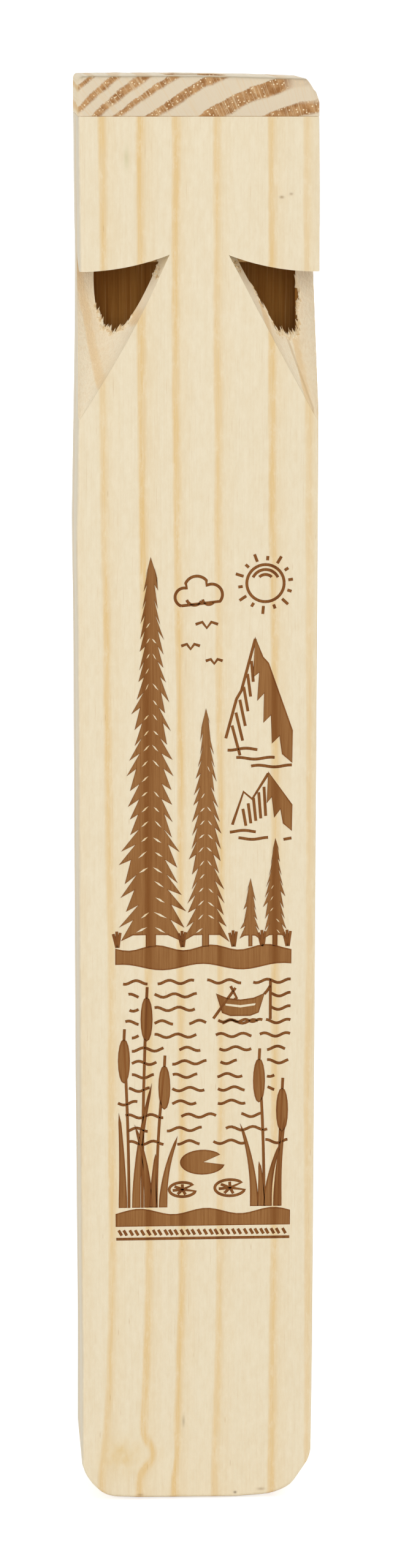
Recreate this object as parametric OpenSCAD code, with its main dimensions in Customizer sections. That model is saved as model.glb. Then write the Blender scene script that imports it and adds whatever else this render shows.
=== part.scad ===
// Two-note wooden train whistle: a drilled pine block, a cap glued over its drilled end and two fipple plugs inside.
// It stands on its foot: +Z runs up to the mouth end, the front face looks along -Y.

/* [Block] */
// Width of the block, side to side
body_w = 38; // [34:0.5:48]
// Depth of the block, front to back
body_d = 25.4; // [23:0.1:34]
// Length of the block, from the foot to the cap
body_l = 227.6; // [220:0.1:290]
// Easing of the four long edges
edge_r = 0.7; // [0.2:0.1:1.5]
// Round of the left foot corner
foot_left_r = 6; // [2:0.5:9]
// Round of the right foot corner
foot_right_r = 8; // [2:0.5:9]

/* [Mouth cap] */
// Thickness of the cap, a cross-cut piece of lath
cap_h = 6.3; // [4:0.1:12]
// Round of the cap's left corner
cap_left_r = 1.2; // [0.4:0.1:3.8]
// Round of the cap's right corner
cap_right_r = 3.5; // [0.4:0.1:3.8]
// Diameter of the blow hole
blow_d = 10; // [6:0.1:14]
// Depth of the plenum between the cap and the fipple plugs
plenum_h = 8; // [4:0.5:14]

/* [Sound chambers] */
// Diameter of each drilled chamber
bore_d = 15; // [11:0.1:15.6]
// Wall left between the two chambers
chamber_gap = 2.6; // [1:0.1:4]
// Length of the left chamber below its window wall, the low note
left_chamber_l = 185; // [60:1:192]
// Length of the right chamber below its window wall, a minor third higher
right_chamber_l = 154; // [60:1:192]

/* [Windows] */
// Distance from the cap down to the window wall at the corner edge
window_drop = 24.3; // [18:0.1:32]
// Length of the ramp along the corner edge, from its tip to the window wall
ramp_l = 23.7; // [16:0.1:32]
// Reach of a window across the front and the side, from the corner edge
window_r = 14.2; // [12:0.1:16]
// How far the domed window wall rises from the corner edge to its rim
wall_rise = 2.6; // [0.5:0.1:4]
// Thickness of the blunt lip, below the window, at its thinnest
lip_t = 1.3; // [0.4:0.1:2]
// Width of the notch that takes the lip's feather edge away
lip_w = 12; // [10:0.1:13]

/* [Fipple plugs] */
// Height of the windway between a plug's flat and the bore
windway_h = 1.8; // [0.8:0.1:3]
// Glue clearance all round a plug
glue_gap = 0.05; // [0.02:0.01:0.2]

/* [Hidden] */
left = -1;
right = 1;
// Overshoot of every cut past the face that it opens
cut_past = 1;
wood_color = "#EEDFC3";
cap_color = "#D9BE97";
dowel_color = "#E2C79B";

// Height of the window wall at the corner edge
wall_z = body_l - window_drop;
// Radius of the dome that shapes the window wall
dome_r = (pow(window_r, 2) + pow(wall_rise, 2)) / (2 * wall_rise);
// Place of a chamber's axis, and its distance and direction from the corner edge
bore_x = (bore_d + chamber_gap) / 2;
corner_dx = body_w / 2 - bore_x;
corner_dy = body_d / 2;
corner_gap = norm([corner_dx, corner_dy]);
corner_angle = atan2(corner_dy, corner_dx);
// A plug ends level with the window wall at the middle of its windway, and its top is the plenum's floor
jet_r = corner_gap - bore_d / 2 + windway_h / 2;
plug_z = wall_z + dome_r - sqrt(pow(dome_r, 2) - pow(jet_r, 2));
plenum_z = body_l - plenum_h;
// The lip's lowest place on the ramp, and how far its notch's axis is from the corner edge
lip_reach = corner_gap - bore_d / 2 - lip_t;
lip_z = wall_z - ramp_l + lip_reach * (ramp_l + wall_rise) / window_r;
lip_gap = lip_reach + lip_w / 2;

// What rounding takes off a corner that stands at the origin
module corner_waste(r) {
    difference() {
        translate([-cut_past, -cut_past]) square(r + cut_past);
        translate([r, r]) circle(r = r, $fn = 64);
    }
}

// The block seen from the front, with its two sanded foot corners
module body_outline() {
    difference() {
        translate([-body_w / 2, 0]) square([body_w, body_l]);
        translate([-body_w / 2, 0]) corner_waste(foot_left_r);
        translate([body_w / 2, 0]) mirror([1, 0]) corner_waste(foot_right_r);
    }
}

// The cap seen from the front, with its two sanded top corners
module cap_outline() {
    difference() {
        translate([-body_w / 2, 0]) square([body_w, cap_h]);
        translate([-body_w / 2, cap_h]) mirror([0, 1]) corner_waste(cap_left_r);
        translate([body_w / 2, cap_h]) rotate(180) corner_waste(cap_right_r);
    }
}

// The whistle cut across, with its long edges eased
module cross_section() {
    difference() {
        square([body_w, body_d], center = true);
        for (turn = [0, 180]) rotate(turn) {
            translate([-body_w / 2, -body_d / 2]) corner_waste(edge_r);
            translate([body_w / 2, -body_d / 2]) mirror([1, 0]) corner_waste(edge_r);
        }
    }
}

// Stock of the whistle's section, sanded to the front outline that is passed in
module stock(l) {
    intersection() {
        rotate([90, 0, 0]) linear_extrude(body_d, center = true) children();
        linear_extrude(l) cross_section();
    }
}

// A chamber is drilled from the capped end and stops short of the foot
module chamber(side, chamber_l) {
    translate([side * bore_x, 0, wall_z - chamber_l])
        cylinder(d = bore_d, h = chamber_l + window_drop + cut_past, $fn = 96);
}

// The blow hole goes through the cap and on through the web between the chambers, as deep as the plenum
module blow_hole() {
    translate([0, 0, plenum_z])
        cylinder(d = blow_d, h = plenum_h + cap_h + cut_past, $fn = 96);
}

// A window is the path of a turning cutter whose axis is the corner edge: a cone for the ramp, its tip towards the
// foot, and a hollow end that leaves the wall above it domed
module window_cut(side) {
    outward = side == left ? 225 : -45;
    cone_r = window_r + cut_past;
    cone_h = cone_r * (ramp_l + wall_rise) / window_r;
    translate([side * body_w / 2, -body_d / 2, wall_z - ramp_l])
        rotate(outward) rotate_extrude($fn = 128)
            difference() {
                polygon([[0, 0], [cone_r, cone_h], [0, cone_h]]);
                translate([0, ramp_l + dome_r]) circle(r = dome_r, $fn = 256);
            }
}

// The notch that blunts a window's lip: a short upright cut in line with the chamber
module lip_notch(side) {
    translate([side * (body_w / 2 - lip_gap * cos(corner_angle)), lip_gap * sin(corner_angle) - body_d / 2, lip_z - lip_t / 2])
        cylinder(d = lip_w, h = wall_z - lip_z + lip_t / 2, $fn = 96);
}

// A dowel whose flat faces the corner edge and leaves the windway open
module fipple_plug(side) {
    plug_r = bore_d / 2 - glue_gap;
    plug_l = plenum_z - plug_z;
    flat_x = bore_d / 2 - windway_h;
    flat_turn = side == left ? 180 + corner_angle : -corner_angle;
    translate([side * bore_x, 0, plug_z]) difference() {
        cylinder(r = plug_r, h = plug_l, $fn = 96);
        rotate(flat_turn)
            translate([flat_x, -bore_d / 2, -cut_past])
                cube([bore_d / 2, bore_d, plug_l + 2 * cut_past]);
    }
}

module body() {
    color(wood_color) difference() {
        stock(body_l) body_outline();
        chamber(left, left_chamber_l);
        chamber(right, right_chamber_l);
        window_cut(left);
        window_cut(right);
        lip_notch(left);
        lip_notch(right);
        blow_hole();
    }
}

module mouth_cap() {
    color(cap_color) difference() {
        translate([0, 0, body_l]) stock(cap_h) cap_outline();
        blow_hole();
    }
}

module left_fipple_plug() {
    color(dowel_color) fipple_plug(left);
}

module right_fipple_plug() {
    color(dowel_color) fipple_plug(right);
}

body();
mouth_cap();
left_fipple_plug();
right_fipple_plug();
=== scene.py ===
import math
import random

import bpy
from mathutils import Matrix, Vector


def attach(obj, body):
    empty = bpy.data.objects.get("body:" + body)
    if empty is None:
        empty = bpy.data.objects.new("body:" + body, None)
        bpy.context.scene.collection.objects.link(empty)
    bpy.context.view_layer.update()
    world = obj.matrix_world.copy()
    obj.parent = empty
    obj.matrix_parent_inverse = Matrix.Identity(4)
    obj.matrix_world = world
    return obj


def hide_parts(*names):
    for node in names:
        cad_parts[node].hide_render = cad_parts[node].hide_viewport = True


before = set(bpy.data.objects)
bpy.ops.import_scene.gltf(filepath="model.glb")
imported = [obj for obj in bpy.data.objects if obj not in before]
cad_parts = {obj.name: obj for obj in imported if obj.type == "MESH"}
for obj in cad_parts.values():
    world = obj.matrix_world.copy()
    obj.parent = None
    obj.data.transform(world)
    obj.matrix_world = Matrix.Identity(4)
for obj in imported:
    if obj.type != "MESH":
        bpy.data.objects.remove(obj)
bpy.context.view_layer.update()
mm = 0.001
tiny = 1e-6


# small helpers

def deselectAll():
    bpy.ops.object.select_all(action="DESELECT")


def pickOnly(obj):
    deselectAll()
    obj.select_set(True)
    bpy.context.view_layer.objects.active = obj


def applyModifier(obj, kind, **settings):
    modifier = obj.modifiers.new(kind.title(), kind)
    for key, value in settings.items():
        setattr(modifier, key, value)
    pickOnly(obj)
    bpy.ops.object.modifier_apply(modifier=modifier.name)


def settle(obj):
    pickOnly(obj)
    bpy.ops.object.transform_apply(location=True, rotation=True, scale=True)


def selectEdges(obj, test):
    # edges whose two ends both pass the test, picked in object mode for the next edit
    mesh = obj.data
    for part in (mesh.vertices, mesh.edges, mesh.polygons):
        part.foreach_set("select", [False] * len(part))
    for edge in mesh.edges:
        first, second = (mesh.vertices[i].co for i in edge.vertices)
        edge.select = test(first, second)


def bevelEdges(obj, test, width, segments, profile=0.5):
    pickOnly(obj)
    selectEdges(obj, test)
    bpy.ops.object.mode_set(mode="EDIT")
    bpy.ops.mesh.select_mode(type="EDGE")
    bpy.ops.mesh.bevel(offset=width, segments=segments, affect="EDGES", profile=profile)
    bpy.ops.object.mode_set(mode="OBJECT")


def sliceFaces(obj, test, normal, cuts):
    # one straight cut across the picked faces at each distance along the normal
    for cut in cuts:
        pickOnly(obj)
        selectEdges(obj, lambda first, second: False)
        for face in obj.data.polygons:
            face.select = test(face)
        bpy.ops.object.mode_set(mode="EDIT")
        bpy.ops.mesh.select_mode(type="FACE")
        bpy.ops.mesh.bisect(plane_co=[part * cut for part in normal], plane_no=normal)
        bpy.ops.object.mode_set(mode="OBJECT")


def everyFace(face):
    return True


def between(table, value):
    # straight lines from one point of the table to the next
    for (low, first), (high, second) in zip(table, table[1:]):
        if value <= high:
            return first + (second - first) * (max(value, low) - low) / (high - low)
    return table[-1][1]


fullTurn = 6.283
swayRates = (0.055, 0.13, 0.31, 0.52)
swayPhase = 6.28


def sway(seed, value):
    # a smooth, repeatable wander between -1 and 1
    dice = random.Random(seed)
    waves = [math.sin(value * rate + dice.uniform(0, swayPhase)) for rate in swayRates]
    return sum(waves) / len(waves)


def addBlock(name, size, middle, material):
    deselectAll()
    bpy.ops.mesh.primitive_cube_add(size=1, location=(0, 0, middle))
    obj = bpy.context.object
    obj.name = name
    obj.scale = size
    settle(obj)
    obj.data.materials.append(material)
    return obj


def cutAway(obj, cutter):
    applyModifier(obj, "BOOLEAN", operation="DIFFERENCE", object=cutter, solver="EXACT",
                  material_mode="TRANSFER")
    bpy.data.objects.remove(cutter)


drillSides = 96


def drill(x, y, low, high, radius, material):
    deselectAll()
    bpy.ops.mesh.primitive_cylinder_add(vertices=drillSides, radius=radius, depth=high - low,
                                        location=(x, y, (low + high) / 2))
    bit = bpy.context.object
    settle(bit)
    bit.data.materials.append(material)
    return bit


def joinAll(parts, name):
    deselectAll()
    for part in parts:
        part.select_set(True)
    bpy.context.view_layer.objects.active = parts[0]
    bpy.ops.object.join()
    joined = bpy.context.object
    joined.name = name
    settle(joined)
    return joined


def onlyFinish(obj, material):
    obj.data.materials.clear()
    obj.data.materials.append(material)


def smoothOver(obj, degrees):
    pickOnly(obj)
    bpy.ops.object.shade_smooth_by_angle(angle=math.radians(degrees))


# shader helpers

def tone(red, green, blue):
    # a colour as it looks on a screen, turned into linear light
    def linear(value):
        value /= 255
        return value / 12.92 if value <= 0.04045 else ((value + 0.055) / 1.055) ** 2.4
    return (linear(red), linear(green), linear(blue), 1)


def feed(tree, socket, value):
    if isinstance(value, bpy.types.NodeSocket):
        tree.links.new(value, socket)
    else:
        socket.default_value = value


def calc(tree, operation, first, second=0.0):
    node = tree.nodes.new("ShaderNodeMath")
    node.operation = operation
    feed(tree, node.inputs[0], first)
    feed(tree, node.inputs[1], second)
    return node.outputs[0]


def plus(tree, first, second):
    return calc(tree, "ADD", first, second)


def minus(tree, first, second):
    return calc(tree, "SUBTRACT", first, second)


def times(tree, first, second):
    return calc(tree, "MULTIPLY", first, second)


def absolute(tree, value):
    return calc(tree, "ABSOLUTE", value)


def blend(tree, amount, under, over):
    node = tree.nodes.new("ShaderNodeMix")
    node.data_type = "RGBA"
    feed(tree, node.inputs[0], amount)
    feed(tree, node.inputs[6], under)
    feed(tree, node.inputs[7], over)
    return node.outputs[2]


def spread(tree, value, low, high, newLow=0.0, newHigh=1.0):
    node = tree.nodes.new("ShaderNodeMapRange")
    feed(tree, node.inputs[0], value)
    for socket, limit in zip(node.inputs[1:5], (low, high, newLow, newHigh)):
        socket.default_value = limit
    return node.outputs[0]


def steps(tree, value, stops, low, high):
    # levels between 0 and 1 at stops that are given in the value's own units
    node = tree.nodes.new("ShaderNodeValToRGB")
    points = node.color_ramp.elements
    while len(points) > 1:
        points.remove(points[-1])
    for index, (stop, level) in enumerate(stops):
        share = (stop - low) / (high - low)
        point = points[0] if index == 0 else points.new(share)
        point.position = share
        point.color = (level, level, level, 1)
    feed(tree, node.inputs[0], spread(tree, value, low, high))
    return node.outputs[0]


def vector(tree, x, y, z):
    node = tree.nodes.new("ShaderNodeCombineXYZ")
    for socket, value in zip(node.inputs, (x, y, z)):
        feed(tree, socket, value)
    return node.outputs[0]


def stretched(tree, place, scales):
    # a place in mm with its own scale on each axis, for patterns that follow the grain
    return vector(tree, *(times(tree, part, scale) for part, scale in zip(place, scales)))


def noise(tree, at, detail, rough=0.55):
    node = tree.nodes.new("ShaderNodeTexNoise")
    feed(tree, node.inputs["Vector"], at)
    node.inputs["Scale"].default_value = 1.0
    node.inputs["Detail"].default_value = detail
    node.inputs["Roughness"].default_value = rough
    return node.outputs[0]


def pattern(tree, place, look):
    return noise(tree, stretched(tree, place, look["scales"]), look["detail"], look.get("rough", 0.55))


def levels(tree, place, look):
    # a noise pattern as a strength, from one level to the other between its limits
    return spread(tree, pattern(tree, place, look), *look["limits"], *look["levels"])


def cells(tree, place, scales):
    # distance to the nearest of many scattered points
    node = tree.nodes.new("ShaderNodeTexVoronoi")
    node.inputs["Scale"].default_value = 1.0
    tree.links.new(stretched(tree, place, scales), node.inputs["Vector"])
    return node.outputs["Distance"]


def stain(tree, place, colour, look):
    # a colour laid over another where a noise pattern passes from the first limit to the second
    amount = spread(tree, pattern(tree, place, look), *look["limits"], 0.0, look["amount"])
    return blend(tree, amount, colour, look["tone"])


def placeInMm(tree):
    coordinates = tree.nodes.new("ShaderNodeTexCoord")
    scaled = tree.nodes.new("ShaderNodeVectorMath")
    scaled.operation = "SCALE"
    scaled.inputs["Scale"].default_value = 1 / mm
    tree.links.new(coordinates.outputs["Object"], scaled.inputs[0])
    split = tree.nodes.new("ShaderNodeSeparateXYZ")
    tree.links.new(scaled.outputs[0], split.inputs[0])
    facing = tree.nodes.new("ShaderNodeSeparateXYZ")
    tree.links.new(coordinates.outputs["Normal"], facing.inputs[0])
    return split.outputs, facing.outputs


def spot(tree, place, centre, reach):
    # a soft round mark in the x-z plane
    dx = calc(tree, "DIVIDE", minus(tree, place[0], centre[0]), reach[0])
    dz = calc(tree, "DIVIDE", minus(tree, place[2], centre[1]), reach[1])
    far = plus(tree, times(tree, dx, dx), times(tree, dz, dz))
    return calc(tree, "EXPONENT", times(tree, far, -1.0))


def newFinish(name, rough, specular):
    material = bpy.data.materials.new(name)
    material.use_nodes = True
    shader = material.node_tree.nodes["Principled BSDF"]
    shader.inputs["Roughness"].default_value = rough
    shader.inputs["Specular IOR Level"].default_value = specular
    return material, material.node_tree, shader


def dress(tree, shader, colour, height, strength, depth):
    tree.links.new(colour, shader.inputs["Base Color"])
    bump = tree.nodes.new("ShaderNodeBump")
    bump.inputs["Strength"].default_value = strength
    bump.inputs["Distance"].default_value = depth
    feed(tree, bump.inputs["Height"], height)
    tree.links.new(bump.outputs[0], shader.inputs["Normal"])


# the block's wood: growth rings as leaning sheets, each given by its strength and by where it meets the
# front near the mouth; lengths are in mm, and noise scales per mm across, deep and along; a surface is
# its roughness and shine, a bump its strength and depth

blockWood = {
    "rings": [(-20.8, 0.8), (-15.15, 0.9), (-9.2, 1.0), (-3.8, 1.0),
              (2.75, 0.85), (11.6, 1.0), (17.25, 0.7), (23.7, 0.9)],
    "ringSpan": (-26.0, 28.0),
    "core": [(-0.65, 0.0), (-0.4, 0.95), (0.15, 1.0), (0.95, 0.0)],
    "halo": [(-0.8, 0.0), (0.0, 1.0), (3.0, 0.0)],
    "coreAmount": 0.77, "haloAmount": 0.34,
    "front": -12.7, "lean": 0.2, "curl": 0.006,
    "drift": 1.3 / 180, "driftFrom": 213.1,
    "wander": [((0.05, 0.05, 0.011), 0.9), ((0.4, 0.4, 0.05), 0.24), ((0.4, 0.4, 0.22), 0.12)],
    "wanderDetail": 2.0,
    "footBend": 1.3, "footBendSlope": 0.06, "footFrom": 46.1, "footTo": 4.1,
    "knot": (-7.3, 7.7), "knotReach": (2.8, 2.9), "knotPush": 2.0,
    "uneven": {"scales": (0.25, 0.25, 0.03), "detail": 3.0,
               "limits": (0.3, 0.65), "levels": (0.62, 1.0)},
    "brokenCore": {"scales": (2.2, 2.2, 0.09), "detail": 3.0, "rough": 0.65,
                   "limits": (0.35, 0.6), "levels": (0.75, 1.08)},
    "brokenHalo": {"scales": (2.2, 2.2, 0.09), "detail": 3.0, "rough": 0.65,
                   "limits": (0.35, 0.65), "levels": (0.7, 1.2)},
    "surface": (0.62, 0.3), "bump": (0.25, 0.12 * mm), "ringRelief": 0.25,
    "pale": tone(238, 223, 192), "late": tone(230, 196, 136),
    # painted shade: the sides' pale and late tones are greyer, the left side most
    "shadedSidePale": tone(200, 195, 181), "shadedSideLate": tone(202, 183, 150),
    "sideFacing": (0.5, 0.95), "rightShare": 0.2,
    "endPale": tone(222, 200, 162), "endLate": tone(190, 146, 98),
    "endFacing": (0.55, 0.95), "endPower": 0.8,
    "fibre": {"scales": (3.6, 3.6, 0.05), "detail": 4.0, "rough": 0.6,
              "limits": (0.45, 0.75), "amount": 0.22, "tone": tone(225, 199, 155)},
    "cloud": {"scales": (0.12, 0.12, 0.02), "detail": 2.0,
              "limits": (0.35, 0.7), "amount": 0.25, "tone": tone(241, 227, 196)},
    "darkMottle": {"scales": (1.3, 1.3, 0.5), "detail": 4.0, "rough": 0.7,
                   "limits": (0.5, 0.75), "amount": 0.3, "tone": tone(226, 202, 160)},
    "paleMottle": {"scales": (1.3, 1.3, 0.5), "detail": 4.0, "rough": 0.7,
                   "limits": (0.5, 0.25), "amount": 0.4, "tone": tone(247, 235, 208)},
    "pores": {"scales": (7.0, 7.0, 0.16), "detail": 2.0,
              "limits": (0.64, 0.78), "amount": 0.42, "tone": tone(205, 168, 115)},
    "endPores": {"scales": (5.0, 5.0, 5.0), "detail": 2.0,
                 "limits": (0.5, 0.75), "amount": 0.4, "tone": tone(178, 140, 96)},
    "blotch": (-12.3, 7.5), "blotchReach": (3.2, 2.8), "blotchTone": tone(228, 196, 132),
    "swirl": {"scales": (0.7, 0.7, 0.5), "detail": 3.0, "limits": (0.3, 0.7), "levels": (0.15, 0.8)},
    "fleckScales": (0.55, 0.55, 0.08), "fleckLimits": (0.06, 0.025), "fleckAmount": 0.32,
    "fleckTone": tone(192, 150, 96),
}


def ringSheets(tree, place):
    wood = blockWood
    deep = minus(tree, place[1], wood["front"])
    lean = plus(tree, wood["lean"], times(tree, deep, wood["curl"]))
    across = plus(tree, place[0], times(tree, deep, lean))
    across = plus(tree, across, times(tree, minus(tree, place[2], wood["driftFrom"]), wood["drift"]))
    for scales, reach in wood["wander"]:
        loose = noise(tree, stretched(tree, place, scales), wood["wanderDetail"])
        across = plus(tree, across, spread(tree, loose, 0.0, 1.0, -reach, reach))
    # towards the foot the rings bend left, the left ones most, and one kinks round the knot
    low = spread(tree, place[2], wood["footFrom"], wood["footTo"])
    bend = minus(tree, wood["footBend"], times(tree, place[0], wood["footBendSlope"]))
    across = plus(tree, across, times(tree, bend, times(tree, low, low)))
    kink = spot(tree, place, wood["knot"], wood["knotReach"])
    across = minus(tree, across, times(tree, kink, wood["knotPush"]))
    core = [(ring + shift, weight * part) for ring, weight in wood["rings"] for shift, part in wood["core"]]
    halo = [(ring + shift, weight * part) for ring, weight in wood["rings"] for shift, part in wood["halo"]]
    sharp = steps(tree, across, core, *wood["ringSpan"])
    soft = steps(tree, across, halo, *wood["ringSpan"])
    sharp = times(tree, sharp, levels(tree, place, wood["uneven"]))
    sharp = times(tree, sharp, levels(tree, place, wood["brokenCore"]))
    soft = times(tree, soft, levels(tree, place, wood["brokenHalo"]))
    return plus(tree, times(tree, sharp, wood["coreAmount"]), times(tree, soft, wood["haloAmount"]))


def pineColour(tree, place, facing, contrast=1.0, sideShadeTint=0.6):
    wood = blockWood
    rings = times(tree, ringSheets(tree, place), contrast)
    # the sides are painted greyer as shade, the left one most
    turning, turned = wood["sideFacing"]
    left = spread(tree, facing[0], -turning, -turned, 0.0, sideShadeTint)
    right = spread(tree, facing[0], turning, turned, 0.0, sideShadeTint * wood["rightShare"])
    sides = calc(tree, "MAXIMUM", left, right)
    pale = blend(tree, sides, wood["pale"], wood["shadedSidePale"])
    late = blend(tree, sides, wood["late"], wood["shadedSideLate"])
    along = blend(tree, rings, pale, late)
    for look in ("fibre", "cloud", "darkMottle", "paleMottle", "pores"):
        along = stain(tree, place, along, wood[look])
    # the tan blotch beside the knot
    blotch = spot(tree, place, wood["blotch"], wood["blotchReach"])
    blotch = times(tree, blotch, levels(tree, place, wood["swirl"]))
    along = blend(tree, blotch, along, wood["blotchTone"])
    nearest = cells(tree, place, wood["fleckScales"])
    flecks = spread(tree, nearest, *wood["fleckLimits"], 0.0, wood["fleckAmount"])
    along = blend(tree, flecks, along, wood["fleckTone"])
    # end grain, on the foot and wherever the wood is cut across
    cut = blend(tree, calc(tree, "POWER", rings, wood["endPower"]), wood["endPale"], wood["endLate"])
    cut = stain(tree, place, cut, wood["endPores"])
    ends = spread(tree, absolute(tree, facing[2]), *wood["endFacing"])
    return blend(tree, ends, along, cut), rings


# specks and a faint smudge on the front: middle, reach, strength and tone of each

handling = {
    "marks": [((13.1, 215.0), (0.35, 0.22), 0.6, tone(150, 112, 66)),
              ((14.6, 215.5), (0.28, 0.2), 0.5, tone(150, 112, 66)),
              ((-11.4, 221.1), (0.4, 1.6), 0.4, tone(196, 190, 140)),
              ((6.4, 0.9), (0.25, 0.2), 0.75, tone(96, 66, 36)),
              ((-9.4, 0.7), (0.5, 0.22), 0.5, tone(150, 112, 66)),
              ((10.7, 1.4), (0.6, 0.25), 0.5, tone(160, 124, 78)),
              ((-2.2, 13.4), (0.22, 0.9), 0.4, tone(140, 118, 84))],
    "frontY": -12.0,
}


def makePine():
    wood = blockWood
    material, tree, shader = newFinish("blockPine", *wood["surface"])
    place, facing = placeInMm(tree)
    colour, rings = pineColour(tree, place, facing)
    front = calc(tree, "LESS_THAN", place[1], handling["frontY"])
    for centre, reach, amount, shade in handling["marks"]:
        mark = times(tree, spot(tree, place, centre, reach), amount)
        colour = blend(tree, times(tree, mark, front), colour, shade)
    height = plus(tree, pattern(tree, place, wood["fibre"]), times(tree, rings, wood["ringRelief"]))
    dress(tree, shader, colour, height, *wood["bump"])
    return material


# the freshly cut ramps and window walls, rougher than the sanded faces and painted paler as light against
# their shade; the right ramp has a fine crease, painted as a thin line of shade

cutWood = {
    # painted shade: the side tint here keeps the sides of the cut wood only faintly greyer
    "contrast": 1.9, "sideShadeTint": 0.1, "surface": (0.75, 0.2), "bump": (0.5, 0.25 * mm),
    "chips": {"scales": (3.0, 3.0, 0.5), "detail": 4.0, "rough": 0.65,
              "limits": (0.45, 0.75), "amount": 0.55, "tone": tone(222, 190, 142)},
    "paintedLight": 0.35, "paintedLightTone": tone(252, 238, 212),
    "creaseX": 18.3, "creaseRun": 3.9, "creaseLow": 181.6, "creaseHigh": 192.7, "creaseTop": 193.0,
    "creaseLimits": (0.26, 0.1), "creaseShadeAmount": 0.45, "creaseShadeTone": tone(196, 166, 122),
    "undersideShadeFacing": (-0.3, -0.9), "undersideShadeTone": tone(212, 168, 112),
    "ringAmount": 0.14, "ringTone": tone(226, 184, 128),
    "endFrom": 9.5, "endTo": 7.5, "innerLightAmount": 0.8, "innerLightTone": tone(255, 243, 214),
}


def makeCutPine():
    wood = cutWood
    material, tree, shader = newFinish("cutPine", *wood["surface"])
    place, facing = placeInMm(tree)
    colour, rings = pineColour(tree, place, facing, wood["contrast"], wood["sideShadeTint"])
    colour = stain(tree, place, colour, wood["chips"])
    # painted light: a paler tone laid over the ramps and walls, against the shade in the windows
    colour = blend(tree, wood["paintedLight"], colour, wood["paintedLightTone"])
    # painted shade: a thin darker line along the crease on the right ramp, where its lit and shaded facets
    # meet
    climb = spread(tree, place[2], wood["creaseLow"], wood["creaseHigh"], 0.0, wood["creaseRun"])
    beside = absolute(tree, minus(tree, place[0], minus(tree, wood["creaseX"], climb)))
    below = calc(tree, "LESS_THAN", place[2], wood["creaseTop"])
    creaseShade = spread(tree, beside, *wood["creaseLimits"], 0.0, wood["creaseShadeAmount"])
    colour = blend(tree, times(tree, creaseShade, below), colour, wood["creaseShadeTone"])
    # painted shade: faces that look down are darker tan
    colour = blend(tree, spread(tree, facing[2], *wood["undersideShadeFacing"]), colour, wood["undersideShadeTone"])
    colour = blend(tree, times(tree, rings, wood["ringAmount"]), colour, wood["ringTone"])
    # the narrow inner ends are painted palest, as light against the shade under the wall
    inner = spread(tree, absolute(tree, place[0]), wood["endFrom"], wood["endTo"], 0.0, wood["innerLightAmount"])
    colour = blend(tree, inner, colour, wood["innerLightTone"])
    dress(tree, shader, colour, pattern(tree, place, wood["chips"]), *wood["bump"])
    return material


# the inside of the bores, a darker brown than the outer wood: painted shade for the deep bores

boreShadeLook = {
    "surface": (0.85, 0.1), "bump": (0.4, 0.2 * mm),
    "dark": tone(168, 110, 45), "pale": tone(195, 142, 72),
    "streak": {"scales": (0.9, 0.9, 0.03), "detail": 4.0, "rough": 0.65, "limits": (0.3, 0.7)},
    "feedRings": {"scales": (0.2, 0.2, 2.2), "detail": 2.0,
                  "limits": (0.5, 0.8), "amount": 0.08, "tone": tone(138, 84, 32)},
    "paleShreds": {"scales": (2.6, 2.6, 0.06), "detail": 3.0, "rough": 0.7,
                   "limits": (0.54, 0.7), "amount": 0.6, "tone": tone(216, 170, 108)},
    "darkShreds": {"scales": (2.6, 2.6, 0.06), "detail": 3.0, "rough": 0.7,
                   "limits": (0.44, 0.32), "amount": 0.5, "tone": tone(132, 80, 28)},
}


def makeShadedBoreWood():
    wood = boreShadeLook
    material, tree, shader = newFinish("shadedBoreWood", *wood["surface"])
    place = placeInMm(tree)[0]
    streak = pattern(tree, place, wood["streak"])
    colour = blend(tree, spread(tree, streak, *wood["streak"]["limits"]), wood["dark"], wood["pale"])
    for look in ("feedRings", "paleShreds", "darkShreds"):
        colour = stain(tree, place, colour, wood[look])
    dress(tree, shader, colour, streak, *wood["bump"])
    return material


# the cap's wood: a lath cut across, with rings round a far pith below its right end; each ring is given
# by the two distances from the pith at which it starts and ends

capWood = {
    "surface": (0.7, 0.2), "bump": (0.3, 0.12 * mm),
    "pith": (31.0, 174.6), "ringSpan": (48.0, 82.0),
    "rings": [(54.7, 57.0), (59.4, 61.7), (64.7, 66.05), (68.15, 69.1),
              (70.4, 71.6), (73.1, 74.1), (75.8, 76.4)],
    "softStart": (-0.3, 0.1), "startShut": (0.38, 0.4), "endShut": (-0.42, -0.4), "sharpEnd": (0.0, 0.12),
    "taper": 0.36, "top": 233.9, "bottom": 227.6,
    "cornerX": (13.2, 15.0), "cornerZ": (229.4, 230.4), "cornerLevel": 0.2,
    "wobble": {"scales": (0.16, 0.03, 0.16), "detail": 3.0}, "wobbleReach": 0.9,
    "grit": {"scales": (3.5, 0.3, 3.5), "detail": 2.0}, "gritReach": 0.18,
    "rayTurns": 260.0, "rayStretch": 0.12, "rayDetail": 2.0,
    "rayLimits": (0.52, 0.68), "rayAmount": 0.6, "rayTone": tone(229, 203, 163),
    "patchy": {"scales": (0.7, 0.1, 0.7), "detail": 3.0, "rough": 0.65,
               "limits": (0.38, 0.62), "levels": (0.0, 1.0)},
    "canalScales": (1.8, 0.05, 1.8), "canalLimits": (0.27, 0.17), "canalAmount": 0.9,
    "canalTone": tone(247, 226, 186),
    "endFacing": (0.2, 0.55),
    "endPale": tone(228, 211, 183), "endLate": tone(196, 150, 100), "endDark": tone(158, 108, 60),
    "pale": tone(236, 219, 186), "late": tone(222, 188, 136),
    "fibre": {"scales": (2.4, 0.05, 2.4), "detail": 4.0, "rough": 0.6,
              "limits": (0.42, 0.72), "amount": 0.35, "tone": tone(221, 193, 147)},
    "topShadeFacing": (0.7, 0.95), "topShadeY": (-7.0, -12.0), "topShadeAmount": (0.1, 0.5),
    "topShadeTone": tone(176, 162, 132),
}


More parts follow.
